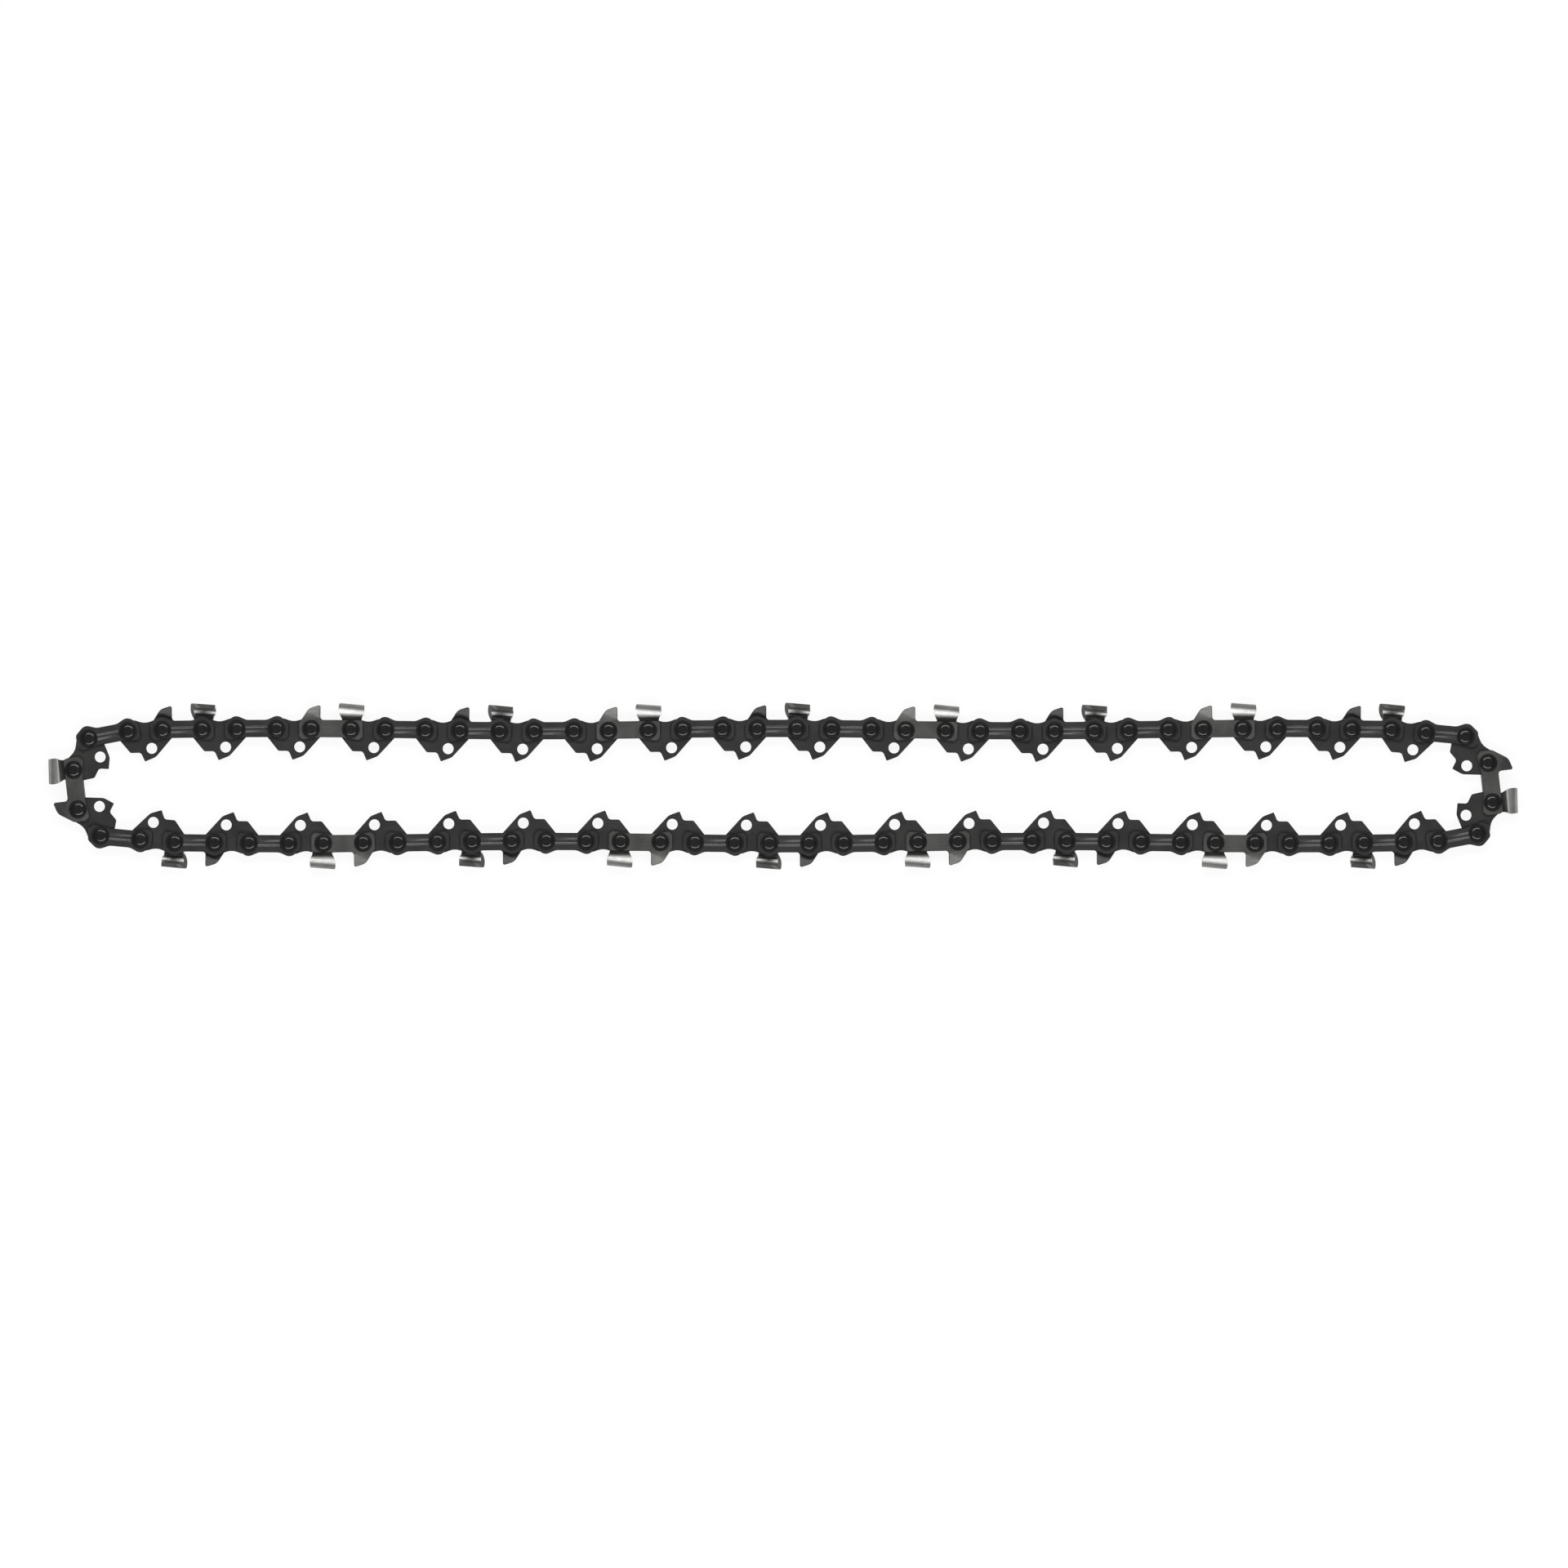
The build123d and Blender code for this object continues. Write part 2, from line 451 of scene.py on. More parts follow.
def rounded(corners: Sequence[Corner], step: float = 14.0) -> list[Vector]:
    """Round the corners of a polygon.

    Args:
        corners: The polygon's corners in order.
        step: Turn between points on a rounded corner, in degrees.

    Returns:
        The outline's points, anticlockwise.
    """
    points: list[Vector] = []
    count = len(corners)
    for i, corner in enumerate(corners):
        at = Vector((corner.x, corner.y))
        back = (Vector(corners[i - 1][:2]) - at).normalized()
        ahead = (Vector(corners[(i + 1) % count][:2]) - at).normalized()
        half = back.angle(ahead) / 2
        reach = corner.radius / math.tan(half)
        centre = at + (back + ahead).normalized() * (corner.radius / math.sin(half))
        start, end = at + back * reach - centre, at + ahead * reach - centre
        turn = math.atan2(start.x * end.y - start.y * end.x, start.dot(end))
        parts = max(2, round(abs(math.degrees(turn)) / step))
        points += [centre + Matrix.Rotation(turn * k / parts, 2) @ start for k in range(parts + 1)]
    area = sum(a.x * b.y - a.y * b.x for a, b in zip(points, points[1:] + points[:1]))
    return points if area > 0 else points[::-1]


def circle(x: float, y: float, radius: float, count: int = 20) -> list[Vector]:
    """Points of a hole, clockwise.

    Args:
        x: Centre of the hole.
        y: Centre of the hole.
        radius: Its radius.
        count: Number of points.

    Returns:
        The points.
    """
    angles = [-math.tau * k / count for k in range(count)]
    return [Vector((x + radius * math.cos(a), y + radius * math.sin(a))) for a in angles]


def stamped(
    outlines: Iterable[Sequence[Vector]], low: float, high: float, bevel: float
) -> bmesh.types.BMesh:
    """Stamp a flat plate with broken edges.

    Args:
        outlines: The outer edge and the holes.
        low: Height of its lower face.
        high: Height of its upper face.
        bevel: Width of the broken edge.

    Returns:
        The plate's closed skin in millimetres.
    """
    curve = bpy.data.curves.new("stamping", "CURVE")
    curve.dimensions = "2D"
    curve.fill_mode = "BOTH"
    curve.extrude = (high - low) / 2 - bevel
    curve.bevel_depth = bevel
    curve.bevel_resolution = 0
    curve.offset = -bevel
    for outline in outlines:
        spline = curve.splines.new("POLY")
        spline.points.add(len(outline) - 1)
        for point, place in zip(spline.points, outline):
            point.co = (place.x, place.y, 0, 1)
        spline.use_cyclic_u = True
    blank = bpy.data.objects.new("stamping", curve)
    mesh = bpy.data.meshes.new_from_object(blank)
    skin = bmesh.new()
    skin.from_mesh(mesh)
    bmesh.ops.translate(skin, verts=skin.verts, vec=(0, 0, (low + high) / 2))
    bmesh.ops.remove_doubles(skin, verts=skin.verts, dist=MERGE_WITHIN)
    bpy.data.objects.remove(blank)
    bpy.data.curves.remove(curve)
    bpy.data.meshes.remove(mesh)
    return skin


class Axis(Enum):
    """Ways along a link and out of the loop, in the link's own frame."""

    LENGTHWISE = (1.0, 0.0, 0.0)
    OUTWARDS = (0.0, 1.0, 0.0)


def cut(skin: bmesh.types.BMesh, axis: Axis, places: Iterable[float]) -> None:
    """Cut edges across a skin, square to one axis.

    Args:
        skin: The skin to cut.
        axis: The axis.
        places: Where on the axis.
    """
    normal = Vector(axis.value)
    for place in places:
        geometry = [*skin.verts, *skin.edges, *skin.faces]
        at = normal * place
        bmesh.ops.bisect_plane(skin, geom=geometry, dist=CUT_WITHIN, plane_co=at, plane_no=normal)


@dataclass(frozen=True)
class Plate:
    """What every plate shares: its layer, and the edge that slides on the bar."""

    size: ChainSize
    # With x past the rear end
    end_inner: Corner = Corner(0.0, -1.75, 0.5)
    foot: Corner = Corner(-0.9, -2.75, 0.7)
    # With x past the middle
    waist: Corner = Corner(2.7, -2.05, 2.5)

    def stamp(self, outer_edge: Sequence[Corner]) -> bmesh.types.BMesh:
        """Stamp the plate, with a foot under each rivet and a hollow waist between them.

        Args:
            outer_edge: Corners away from the bar, from the front end to the rear end.

        Returns:
            The plate's skin on the upper side of the chain.
        """
        end = self.size.plate_end
        rear = [self.end_inner.past(end), self.foot.past(end), self.waist]
        outline = rounded([*outer_edge, *rear, *mirrored(rear)])
        return stamped([outline], self.size.plate_inner, self.size.plate_outer, self.size.broken_edge)


@dataclass(frozen=True)
class TieStrap(Plate):
    """Tie strap: a waisted plate with a shallow groove pressed along it."""

    # With x past the rear end, past the rear rivet and past the middle
    end_outer: Corner = Corner(0.0, 1.35, 1.3)
    shoulder: Corner = Corner(0.45, 3.55, 1.9)
    hollow: Corner = Corner(2.6, 2.3, 2.6)
    groove_middle: float = 0.15
    groove_depth: float = 0.18
    # Half widths and half lengths of the groove, at its floor and at its mouth
    groove_widths: tuple[float, float] = (0.4, 1.0)
    groove_lengths: tuple[float, float] = (2.7, 3.3)

    def skin(self) -> bmesh.types.BMesh:
        """Stamp the strap and press its groove.

        Returns:
            The strap's skin on the upper side of the chain.
        """
        back = [self.hollow, self.shoulder.past(self.size.rear), self.end_outer.past(self.size.plate_end)]
        skin = self.stamp(mirrored(back) + back)
        middle = self.groove_middle
        cut(skin, Axis.OUTWARDS, [middle + side * y for side in (-1, 1) for y in self.groove_widths])
        cut(skin, Axis.LENGTHWISE, [side * x for side in (-1, 1) for x in self.groove_lengths])
        for vert in skin.verts:
            across = abs(vert.co.y - middle) < self.groove_widths[0] + NEAR
            along = abs(vert.co.x) < self.groove_lengths[0] + NEAR
            if across and along and vert.co.z > self.size.plate_outer - NEAR:
                vert.co.z -= self.groove_depth
        return skin


@dataclass(frozen=True)
class DriveLink:
    """Drive link: a flat blank with a hooked tang and an oil hole."""

    size: ChainSize
    # Reach past a rivet
    end_reach: float = 2.75
    # With x past the rear end
    end_outer: Corner = Corner(0.0, 2.7, 2.4)
    tang_root: Corner = Corner(0.0, -1.5, 1.8)
    # With x past the middle
    shoulder: Corner = Corner(2.6, 2.7, 2.4)
    saddle: Corner = Corner(0.0, 1.75, 4.0)
    heel: Corner = Corner(2.4, -6.7, 2.0)
    hook: Corner = Corner(-0.35, -7.75, 0.2)
    step_back: Corner = Corner(-1.3, -5.5, 0.9)
    step_front: Corner = Corner(-3.9, -5.5, 0.7)
    # Centre and radius
    oil_hole: tuple[float, float, float] = (1.45, -4.5, 1.38)

    def skin(self) -> bmesh.types.BMesh:
        """Stamp the link.

        Returns:
            The link's skin.
        """
        end = self.size.drive_pitch / 2 + self.end_reach
        back = [self.shoulder, self.end_outer.past(end)]
        root = self.tang_root.past(end)
        tang = [root, self.heel, self.hook, self.step_back, self.step_front, *mirrored([root])]
        outline = rounded([*mirrored(back), self.saddle, *back, *tang])
        half = self.size.gauge / 2
        return stamped([outline, circle(*self.oil_hole)], -half, half, self.size.broken_edge)


class SheetRow(NamedTuple):
    """A line along a crown's sheet: y over the rivets, z over its middle plane, ends past the rear rivet."""

    y: float
    z: float
    front: float
    back: float


@dataclass(frozen=True)
class Cutter(Plate):
    """Left cutter: a plate with a depth gauge, and a crown bent out, up and over from one sheet."""

    # With x past the front end and past the rear end
    front_end: Corner = Corner(0.0, 1.3, 0.9)
    rear_end: Corner = Corner(0.0, 1.2, 0.5)
    # With x past the front rivet
    gauge_brow: Corner = Corner(-0.6, 5.2, 2.4)
    gauge_tip: Corner = Corner(2.3, 6.1, 0.45)
    gauge_foot: Corner = Corner(2.3, 2.3, 0.8)
    # With x past the rear rivet
    neck_foot: Corner = Corner(2.75, 2.35, 0.7)
    # Height where the gauge bends in, and its lean for each millimetre above that
    gauge_bend: float = 2.75
    gauge_lean: float = 0.17
    # Thickness of the crown's sheet
    sheet: float = 1.0
    # How far the front edge is ground back on the inside, and from which height
    ground_back: float = 0.9
    ground_from: float = 3.3
    # Fall of the crown behind its front, in degrees: none up to a height, and all of it a rise above that
    relief: float = 5.0
    relief_front: float = -3.0
    relief_from: float = 3.0
    relief_rise: float = 2.5
    # Heights above which the crown is plated, and above which a face is the top plate's
    plated_outside: float = 3.4
    plated_inside: float = 4.0
    top_plate: float = 5.3

    # Middle of the sheet: up from the neck, out, over the bevelled working corner and along the top plate
    SHEET_ROWS = (
        SheetRow(1.95, 1.33, -2.1, 2.7),
        SheetRow(2.35, 1.36, -2.1, 2.7),
        SheetRow(2.7, 1.6, -2.15, 2.72),
        SheetRow(3.05, 2.06, -2.25, 2.75),
        SheetRow(3.35, 2.38, -2.45, 2.85),
        SheetRow(3.7, 2.5, -2.75, 3.1),
        SheetRow(4.2, 2.41, -2.95, 3.3),
        SheetRow(4.8, 2.27, -3.05, 3.38),
        SheetRow(5.35, 2.12, -3.05, 3.38),
        SheetRow(5.72, 1.81, -3.0, 3.36),
        SheetRow(6.1, 1.49, -2.85, 3.34),
        SheetRow(6.13, 1.15, -2.6, 3.32),
        SheetRow(6.14, 0.6, -2.25, 3.3),
        SheetRow(6.15, -0.2, -1.8, 3.3),
        SheetRow(6.15, -1.15, -1.25, 3.3),
    )
    # Points along a row, closer near its ends
    ROW_SHARES = (0.0, 0.04, 0.12, 0.3, 0.5, 0.7, 0.88, 0.96, 1.0)
    # A face belongs to these where its normal is lower: its z for the first three, its x for the last
    PLATE_INSIDE = -0.5
    CROWN_INSIDE = -0.1
    TOP_PLATE_END_FACE = -0.95
    GROUND_EDGE = -0.5

    def plate(self) -> bmesh.types.BMesh:
        """Stamp the flat part and bend its depth gauge in.

        Returns:
            The plate's skin, grey outside and black inside.
        """
        rear, end = self.size.rear, self.size.plate_end
        gauge = [corner.past(-rear) for corner in (self.gauge_brow, self.gauge_tip, self.gauge_foot)]
        skin = self.stamp(
            [self.front_end.past(-end), *gauge, self.neck_foot.past(rear), self.rear_end.past(end)]
        )
        cut(skin, Axis.OUTWARDS, [self.gauge_bend])
        for face in skin.faces:
            inside = face.normal.z <= self.PLATE_INSIDE
            face.material_index = (Finish.BLACK_OXIDE_STEEL if inside else Finish.GREY_CUTTER_STEEL).slot
        for vert in skin.verts:
            vert.co.z -= self.gauge_lean * max(0.0, vert.co.y - self.gauge_bend)
        return skin

    def crown(self) -> bmesh.types.BMesh:
        """Bend neck, side plate and top plate from one sheet, ground to an edge in front.

        Returns:
            The crown's skin, grey at the neck and chrome above it.
        """
        skin = bmesh.new()
        outer, inner = self._sheet_side(skin, 1), self._sheet_side(skin, -1)
        last_row, last = len(self.SHEET_ROWS) - 1, len(self.ROW_SHARES) - 1
        for rows in (outer, inner):
            for low, high in zip(rows, rows[1:]):
                for j in range(last):
                    skin.faces.new((low[j], low[j + 1], high[j + 1], high[j]))
        rim = [(i, 0) for i in range(last_row + 1)]
        rim += [(last_row, j) for j in range(1, last + 1)]
        rim += [(i, last) for i in range(last_row - 1, -1, -1)]
        rim += [(0, j) for j in range(last - 1, 0, -1)]
        for (i, j), (k, m) in zip(rim, rim[1:] + rim[:1]):
            skin.faces.new((outer[i][j], outer[k][m], inner[k][m], inner[i][j]))
        bmesh.ops.recalc_face_normals(skin, faces=skin.faces)
        for face in skin.faces:
            face.material_index = self._crown_finish(face).slot
        return skin

    def _sheet_side(self, skin: bmesh.types.BMesh, side: int) -> list[list[bmesh.types.BMVert]]:
        """Lay the points of one side of the crown's sheet.

        Args:
            skin: The skin to add them to.
            side: 1 for the outer side and -1 for the inner one.

        Returns:
            The points, row by row.
        """
        rows = []
        for i, row in enumerate(self.SHEET_ROWS):
            before = self.SHEET_ROWS[max(i - 1, 0)]
            after = self.SHEET_ROWS[min(i + 1, len(self.SHEET_ROWS) - 1)]
            along = Vector((after.y - before.y, after.z - before.z)).normalized()
            out = Vector((-along.y, along.x)) * (self.sheet / 2) * side
            front = row.front + (self.ground_back if side < 0 and row.y > self.ground_from else 0.0)
            grown = min(1.0, max(0.0, (row.y - self.relief_from) / self.relief_rise))
            fall = math.tan(math.radians(self.relief)) * grown
            points = []
            for share in self.ROW_SHARES:
                x = front + (row.back - front) * share
                y = row.y + out.x - fall * (x - self.relief_front)
                points.append(skin.verts.new((self.size.rear + x, y, row.z + out.y)))
            rows.append(points)
        return rows

    def _crown_finish(self, face: bmesh.types.BMFace) -> Finish:
        """Choose the finish of one face of the crown.

        Args:
            face: The face.

        Returns:
            Chrome above the neck, bare steel below it and on the ground edge, and grey steel, darker than
            chrome, on the top plate's end face.
        """
        height = face.calc_center_median().y
        inside = face.normal.z < self.CROWN_INSIDE
        # The top plate's end face is given grey steel, darker than chrome
        end_face = face.normal.z < self.TOP_PLATE_END_FACE and height > self.top_plate
        if end_face or face.normal.x < self.GROUND_EDGE:
            return Finish.GREY_CUTTER_STEEL
        if height > (self.plated_inside if inside else self.plated_outside):
            return Finish.HARD_CHROME
        return Finish.BLACK_OXIDE_STEEL if inside else Finish.GREY_CUTTER_STEEL


@dataclass(frozen=True)
class RivetHead:
    """Peened rivet head: a flat rim round a low dome with a dimple on top."""

    sides: int = 24
    # Radius and height over the plate, from the rim's foot to the dimple
    profile: tuple[tuple[float, float], ...] = (
        (2.2, -0.1),
        (2.26, 0.05),
        (2.26, 0.2),
        (2.2, 0.25),
        (1.9, 0.27),
        (1.78, 0.25),
        (1.7, 0.3),
        (1.5, 0.41),
        (1.2, 0.48),
        (0.7, 0.5),
        (0.35, 0.46),
    )

    def skin(self) -> bmesh.types.BMesh:
        """Turn the profile about the rivet's axis.

        Returns:
            The head's skin, from the plate's outer face up.
        """
        skin = bmesh.new()
        turns = [Matrix.Rotation(math.tau * k / self.sides, 3, "Z") for k in range(self.sides)]
        rings = [[skin.verts.new(turn @ Vector((r, 0, z))) for turn in turns] for r, z in self.profile]
        for low, high in zip(rings, rings[1:]):
            for k in range(self.sides):
                after = (k + 1) % self.sides
                skin.faces.new((low[k], low[after], high[after], high[k]))
        skin.faces.new(rings[-1])
        skin.faces.new(rings[0][::-1])
        for face in skin.faces:
            face.material_index = Finish.RIVET_STEEL.slot
        return skin


class Layer(Enum):
    """Side of the chain that a skin goes to."""

    UPPER = 1
    LOWER = -1


def joined(
    name: str, skins: Sequence[tuple[bmesh.types.BMesh, Layer]], palette: Iterable[bpy.types.Material]
) -> bpy.types.Object:
    """Join skins into one object that stands for a kind of link.

    Args:
        name: Name of the object.
        skins: Skins made for the upper side of the chain, each with the side it goes to.
        palette: The material slots.

    Returns:
        An object in metres, with smooth faces, sharp edges and lengthwise coordinates for grinding lines.
    """
    whole = bmesh.new()
    for skin, layer in skins:
        piece = skin.copy()
        if layer is Layer.LOWER:
            bmesh.ops.scale(piece, verts=piece.verts, vec=(1, 1, layer.value))
            bmesh.ops.reverse_faces(piece, faces=piece.faces)
        mesh = bpy.data.meshes.new("piece")
        piece.to_mesh(mesh)
        whole.from_mesh(mesh)
        piece.free()
        bpy.data.meshes.remove(mesh)
    grind = whole.loops.layers.uv.new(GRIND_UV)
    for face in whole.faces:
        for loop in face.loops:
            loop[grind].uv = (loop.vert.co.x, loop.vert.co.y + loop.vert.co.z)
    bmesh.ops.scale(whole, verts=whole.verts, vec=(MM, MM, MM))
    mesh = bpy.data.meshes.new(name)
    whole.to_mesh(mesh)
    whole.free()
    for material in palette:
        mesh.materials.append(material)
    mesh.shade_smooth()
    mesh.set_sharp_from_angle(angle=math.radians(SHARP_ANGLE))
    kind = bpy.data.objects.new(name, mesh)
    bpy.context.scene.collection.objects.link(kind)
    return kind


class Prototypes(NamedTuple):
    """One object for each kind of link, and the rivet head."""

    tie_link: bpy.types.Object
    left_cutter: bpy.types.Object
    right_cutter: bpy.types.Object
    drive_link: bpy.types.Object
    rivet_head: bpy.types.Object

    @classmethod
    def make(cls, size: ChainSize, palette: Sequence[bpy.types.Material]) -> Prototypes:
        """Make every kind of link.

        Args:
            size: Sizes of the chain.
            palette: The material slots.

        Returns:
            The prototypes.
        """
        strap, drive, head = TieStrap(size).skin(), DriveLink(size).skin(), RivetHead().skin()
        plate, crown = Cutter(size).plate(), Cutter(size).crown()
        upper, lower = Layer.UPPER, Layer.LOWER
        recipes = {
            "tie_link": [(strap, upper), (strap, lower)],
            "left_cutter": [(plate, upper), (crown, upper), (strap, lower)],
            "right_cutter": [(plate, lower), (crown, lower), (strap, upper)],
            "drive_link": [(drive, upper)],
            "rivet_head": [(head, upper)],
        }
        kinds = {name: joined(f"{name}_kind", skins, palette) for name, skins in recipes.items()}
        for skin in (strap, drive, head, plate, crown):
            skin.free()
        return cls(**kinds)

    def plates_of(self, body: str) -> bpy.types.Object:
        """The outer link that a body holds.

        Args:
            body: Name of the body.

        Returns:
            Its prototype, and the tie link for a body that holds only a drive link.
        """
        return {"left": self.left_cutter, "right": self.right_cutter}.get(body.split("_")[0], self.tie_link)


class LinkTree:
    """Geometry Nodes tree that sets links and their rivet heads at the stations of one body."""

    INPUTS = {
        "Outer link": "NodeSocketObject",
        "Drive link": "NodeSocketObject",
        "Rivet head": "NodeSocketObject",
        "Rivet steel": "NodeSocketMaterial",
        "Rivet reach": "NodeSocketFloat",
        "Head seat": "NodeSocketFloat",
    }

    def __init__(self, size: ChainSize) -> None:
        """Make the tree with its named inputs.

        Args:
            size: Sizes of the chain.
        """
        self.size = size
        self.tree = bpy.data.node_groups.new("links_and_rivets", "GeometryNodeTree")
        self.tree.is_modifier = True
        sockets = self.tree.interface
        sockets.new_socket("Stations", in_out="INPUT", socket_type="NodeSocketGeometry")
        self.ids = {}
        for name, kind in self.INPUTS.items():
            self.ids[name] = sockets.new_socket(name, in_out="INPUT", socket_type=kind).identifier
        sockets.new_socket("Links", in_out="OUTPUT", socket_type="NodeSocketGeometry")
        self._wire()

    def _wire(self) -> None:
        """Add and link the tree's nodes."""
        tree = self.tree
        given = add_node(tree, "NodeGroupInput").outputs
        heading = add_node(tree, "GeometryNodeInputNamedAttribute", {"Name": "heading"}, data_type="FLOAT")
        drive = add_node(tree, "GeometryNodeInputNamedAttribute", {"Name": "drive"}, data_type="BOOLEAN")
        outer = add_node(tree, "FunctionNodeBooleanMath", {0: drive.outputs["Attribute"]}, operation="NOT")
        euler = add_node(tree, "ShaderNodeCombineXYZ", {"Z": heading.outputs["Attribute"]})
        turn = add_node(tree, "FunctionNodeEulerToRotation", {0: euler.outputs[0]})
        kinds = {}
        for name in ("Outer link", "Drive link", "Rivet head"):
            kind = add_node(tree, "GeometryNodeObjectInfo", {"Object": given[name], "As Instance": True})
            kinds[name] = kind.outputs["Geometry"]
        pair = self._rivet_pair(kinds["Rivet head"], given["Head seat"], given["Rivet reach"])
        laid = [
            (kinds["Outer link"], outer.outputs[0]),
            (kinds["Drive link"], drive.outputs["Attribute"]),
            (pair, outer.outputs[0]),
        ]
        outers, drives, rivets = [
            add_node(
                tree,
                "GeometryNodeInstanceOnPoints",
                {
                    "Points": given["Stations"],
                    "Selection": where,
                    "Instance": what,
                    "Rotation": turn.outputs[0],
                },
            ).outputs[0]
            for what, where in laid
        ]
        marked = add_node(
            tree,
            "GeometryNodeStoreNamedAttribute",
            {"Geometry": rivets, "Name": "rivet", "Value": True},
            data_type="BOOLEAN",
            domain="INSTANCE",
        )
        whole = add_node(tree, "GeometryNodeJoinGeometry", {0: outers})
        tree.links.new(drives, whole.inputs[0])
        tree.links.new(marked.outputs[0], whole.inputs[0])
        real = add_node(tree, "GeometryNodeRealizeInstances", {"Geometry": whole.outputs[0]})
        rivet = add_node(tree, "GeometryNodeInputNamedAttribute", {"Name": "rivet"}, data_type="BOOLEAN")
        painted = add_node(
            tree,
            "GeometryNodeSetMaterial",
            {
                "Geometry": real.outputs[0],
                "Selection": rivet.outputs["Attribute"],
                "Material": given["Rivet steel"],
            },
        )
        add_node(tree, "NodeGroupOutput", {0: painted.outputs[0]})

    def _rivet_pair(
        self, head: bpy.types.NodeSocket, seat: bpy.types.NodeSocket, reach: bpy.types.NodeSocket
    ) -> bpy.types.NodeSocket:
        """Add the nodes of an outer link's two rivets, each with a head above and below.

        Args:
            head: The rivet head, standing up.
            seat: Height of its seat over the chain's middle.
            reach: Way of a rivet from the link's middle.

        Returns:
            The socket that gives the pair.
        """
        tree = self.tree
        over = add_node(tree, "ShaderNodeCombineXYZ", {"Z": seat})
        under = add_node(
            tree, "ShaderNodeVectorMath", {0: over.outputs[0], "Scale": -1.0}, operation="SCALE"
        )
        upper = add_node(tree, "GeometryNodeTransform", {"Geometry": head, "Translation": over.outputs[0]})
        lower = add_node(
            tree,
            "GeometryNodeTransform",
            {"Geometry": head, "Translation": under.outputs[0], "Rotation": (math.pi, 0, 0)},
        )
        heads = add_node(tree, "GeometryNodeJoinGeometry", {0: upper.outputs[0]})
        tree.links.new(lower.outputs[0], heads.inputs[0])
        rear = add_node(tree, "ShaderNodeCombineXYZ", {"X": reach})
        front = add_node(
            tree, "ShaderNodeVectorMath", {0: rear.outputs[0], "Scale": -1.0}, operation="SCALE"
        )
        pitch = add_node(
            tree, "ShaderNodeVectorMath", {0: rear.outputs[0], "Scale": 2.0}, operation="SCALE"
        )
        places = add_node(
            tree,
            "GeometryNodeMeshLine",
            {"Count": 2, "Start Location": front.outputs[0], "Offset": pitch.outputs[0]},
        )
        pair = add_node(
            tree, "GeometryNodeInstanceOnPoints", {"Points": places.outputs[0], "Instance": heads.outputs[0]}
        )
        return pair.outputs[0]

    def grow(self, name: str, stations: Sequence[Station], values: dict[str, Any]) -> bpy.types.Object:
        """Make the object that carries the tree on one body's stations.

        Args:
            name: Name of the object.
            stations: Where the body's links lie.
            values: The tree's inputs by name.

        Returns:
            An object whose modifier makes the links.
        """
        height = self.size.kerf / 2
        mesh = bpy.data.meshes.new(name)
        mesh.from_pydata([(s.x * MM, s.y * MM, height * MM) for s in stations], [], [])
        heading = mesh.attributes.new("heading", "FLOAT", "POINT")
        drive = mesh.attributes.new("drive", "BOOLEAN", "POINT")
        for i, station in enumerate(stations):
            heading.data[i].value = station.heading
            drive.data[i].value = station.drive
        piece = bpy.data.objects.new(name, mesh)
        bpy.context.scene.collection.objects.link(piece)
        modifier = piece.modifiers.new("links", "NODES")
        modifier.node_group = self.tree
        for key, value in values.items():
            modifier[self.ids[key]] = value
        return piece


@dataclass(frozen=True)
class ChainDresser:
    """Puts a dressed piece on every body of the frame."""

    size: ChainSize
    palette: dict[Finish, bpy.types.Material]
    lay: LoopLay

    def dress(self) -> None:
        """Make the links of every body, and let them stand for its node."""
        kinds = Prototypes.make(self.size, list(self.palette.values()))
        tree = LinkTree(self.size)
        pieces = {}
        for body, places in self.lay.bodies().items():
            values = {
                "Outer link": kinds.plates_of(body),
                "Drive link": kinds.drive_link,
                "Rivet head": kinds.rivet_head,
                "Rivet steel": self.palette[Finish.RIVET_STEEL],
                "Rivet reach": self.size.rear * MM,
                "Head seat": self.size.plate_outer * MM,
            }
            pieces[body] = tree.grow(f"chain_{body}", [self.lay.stations[p] for p in places], values)
        bpy.context.view_layer.update()
        depsgraph = bpy.context.evaluated_depsgraph_get()
        meshes = {}
        for body, piece in pieces.items():
            meshes[body] = bpy.data.meshes.new_from_object(piece.evaluated_get(depsgraph))
        for body, piece in pieces.items():
            piece.modifiers.clear()
            piece.data = meshes[body]
            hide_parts(body)
            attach(piece, body)
            triangles = sum(len(face.vertices) - 2 for face in meshes[body].polygons)
            LOG.info("%s rides on %s, %d triangles", piece.name, body, triangles)
        for kind in kinds:
            bpy.data.objects.remove(kind)


@dataclass(frozen=True)
class Lamp:
    """A soft lamp, long across the picture. Sizes are in metres and watts."""

    name: str
    place: tuple[float, float, float]
    width: float
    depth: float
    power: float

    def hang(self) -> None:
        """Hang the lamp so that it faces the chain."""
        light = bpy.data.lights.new(self.name, "AREA")
        light.shape = "RECTANGLE"
        light.size, light.size_y = self.width, self.depth
        light.energy = self.power
        lamp = bpy.data.objects.new(self.name, light)
        lamp.location = self.place
        lamp.rotation_euler = (-Vector(self.place)).to_track_quat("-Z", "Y").to_euler()
        bpy.context.scene.collection.objects.link(lamp)


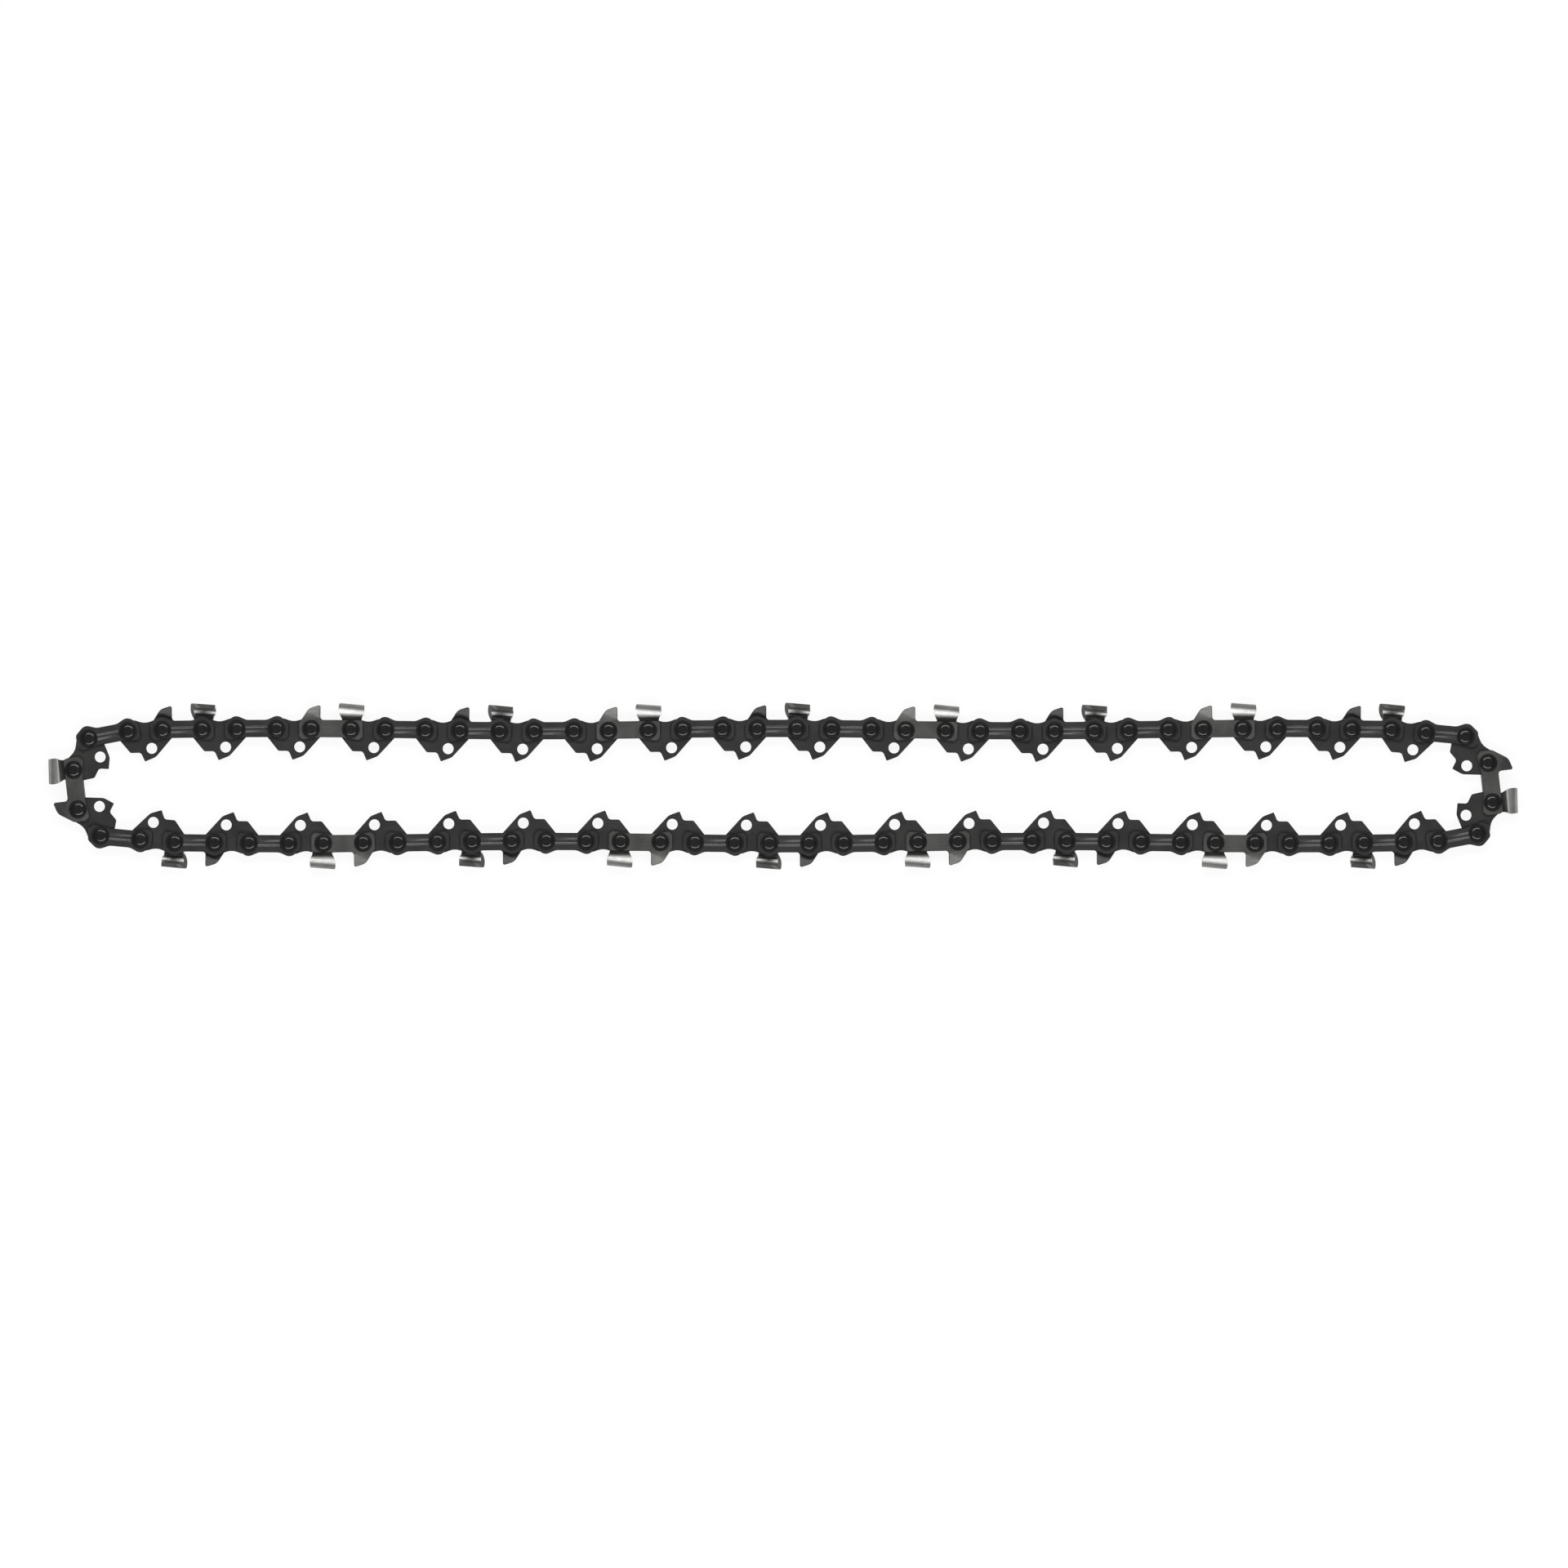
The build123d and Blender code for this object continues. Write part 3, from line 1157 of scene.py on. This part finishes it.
@dataclass(frozen=True)
class Studio:
    """White floor, soft lamps and a camera that looks straight down. Sizes are in metres."""

    lamps: tuple[Lamp, ...] = (
        Lamp("lamp_above_the_picture", place=(0, 0.47, 1.0), width=0.9, depth=0.26, power=3.85),
        Lamp("lamp_below_the_picture", place=(0, -0.47, 1.0), width=0.9, depth=0.26, power=3.45),
    )
    # Strength of the sky overhead and low down, and where it rises from low to overhead: with height,
    # and towards the loop's two ends, where the low sky is as light as overhead
    overhead: float = 0.18
    low_sky: float = 0.04
    rise_by_height: tuple[float, float] = (0.15, 0.65)
    rise_to_ends: tuple[float, float] = (0.5, 0.85)
    # Half width of the paper, how much of its look is plain white, how strong that is, and its matt grey
    paper_reach: float = 4.0
    paper_share: float = 0.8
    paper_white: float = 1.12
    paper_matt: float = 0.9
    # The picture is this wide at this height, which is about the plates' upper faces
    view_width: float = 0.3932
    view_height: float = 0.004
    view_centre: tuple[float, float] = (0.000225, 0.00053)
    clip: tuple[float, float] = (0.05, 20.0)
    # In millimetres
    lens: float = 250.0
    sensor: float = 36.0

    def build(self) -> None:
        """Set the whole stage."""
        self._floor()
        self._sky()
        for lamp in self.lamps:
            lamp.hang()
        self._camera()
        bpy.context.scene.view_settings.view_transform = "Standard"
        LOG.info("stage set with a floor, a sky, %d lamps and a camera", len(self.lamps))

    def _floor(self) -> None:
        """Lay a floor that shows white and keeps a little of the chain's shadow."""
        mesh = bpy.data.meshes.new("floor")
        far = self.paper_reach
        corners = [(-far, -far, 0), (far, -far, 0), (far, far, 0), (-far, far, 0)]
        mesh.from_pydata(corners, [], [(0, 1, 2, 3)])
        floor = bpy.data.objects.new("floor", mesh)
        bpy.context.scene.collection.objects.link(floor)
        paper = bpy.data.materials.new("white_paper")
        paper.use_nodes = True
        tree = paper.node_tree
        tree.nodes.clear()
        ray = add_node(tree, "ShaderNodeLightPath").outputs
        seen = add_node(
            tree, "ShaderNodeMath", {0: ray["Is Camera Ray"], 1: ray["Is Glossy Ray"]}, operation="MAXIMUM"
        )
        shown = add_node(
            tree, "ShaderNodeMath", {0: seen.outputs[0], 1: ray["Is Transmission Ray"]}, operation="MAXIMUM"
        )
        share = add_node(
            tree, "ShaderNodeMath", {0: shown.outputs[0], 1: self.paper_share}, operation="MULTIPLY"
        )
        matt = add_node(tree, "ShaderNodeBsdfDiffuse", {"Color": (*[self.paper_matt] * 3, 1.0)})
        white = add_node(tree, "ShaderNodeEmission", {"Color": WHITE, "Strength": self.paper_white})
        both = add_node(
            tree, "ShaderNodeMixShader", {0: share.outputs[0], 1: matt.outputs[0], 2: white.outputs[0]}
        )
        add_node(tree, "ShaderNodeOutputMaterial", {"Surface": both.outputs[0]})
        mesh.materials.append(paper)

    def _sky(self) -> None:
        """Light the chain from a grey sky, darker low down, which the camera sees as white."""
        world = bpy.data.worlds.new("grey_sky")
        world.use_nodes = True
        tree = world.node_tree
        tree.nodes.clear()
        ray = add_node(tree, "ShaderNodeLightPath").outputs
        way = add_node(tree, "ShaderNodeTexCoord").outputs["Generated"]
        axes = add_node(tree, "ShaderNodeSeparateXYZ", {0: way}).outputs
        endways = add_node(tree, "ShaderNodeMath", {0: axes["X"]}, operation="ABSOLUTE")
        by_height, by_end = [
            add_node(
                tree,
                "ShaderNodeMapRange",
                {
                    "Value": value,
                    "From Min": rise[0],
                    "From Max": rise[1],
                    "To Min": self.low_sky,
                    "To Max": self.overhead,
                },
            ).outputs["Result"]
            for value, rise in ((axes["Z"], self.rise_by_height), (endways.outputs[0], self.rise_to_ends))
        ]
        level = add_node(tree, "ShaderNodeMath", {0: by_height, 1: by_end}, operation="MAXIMUM")
        grey = add_node(tree, "ShaderNodeBackground", {"Color": WHITE, "Strength": level.outputs[0]})
        white = add_node(tree, "ShaderNodeBackground", {"Color": WHITE, "Strength": 1.0})
        both = add_node(
            tree, "ShaderNodeMixShader", {0: ray["Is Camera Ray"], 1: grey.outputs[0], 2: white.outputs[0]}
        )
        add_node(tree, "ShaderNodeOutputWorld", {"Surface": both.outputs[0]})
        bpy.context.scene.world = world

    def _camera(self) -> None:
        """Hang the camera over the loop, framed as the photo is."""
        lens = bpy.data.cameras.new("camera")
        lens.lens = self.lens
        lens.sensor_width = self.sensor
        lens.clip_start, lens.clip_end = self.clip
        camera = bpy.data.objects.new("camera", lens)
        camera.location = (*self.view_centre, self.view_width * self.lens / self.sensor + self.view_height)
        bpy.context.scene.collection.objects.link(camera)
        bpy.context.scene.camera = camera


def main() -> None:
    """Load the frame, dress the chain and set the stage."""
    logging.basicConfig(level=logging.INFO, format="%(name)s: %(message)s")
    for thing in list(bpy.data.objects):
        bpy.data.objects.remove(thing)
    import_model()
    size = ChainSize()
    lay = LoopLay(size)
    ChainDresser(size, {finish: finish.value.build() for finish in Finish}, lay).dress()
    Studio().build()
    bpy.context.view_layer.update()


if __name__ == "__main__":
    main()
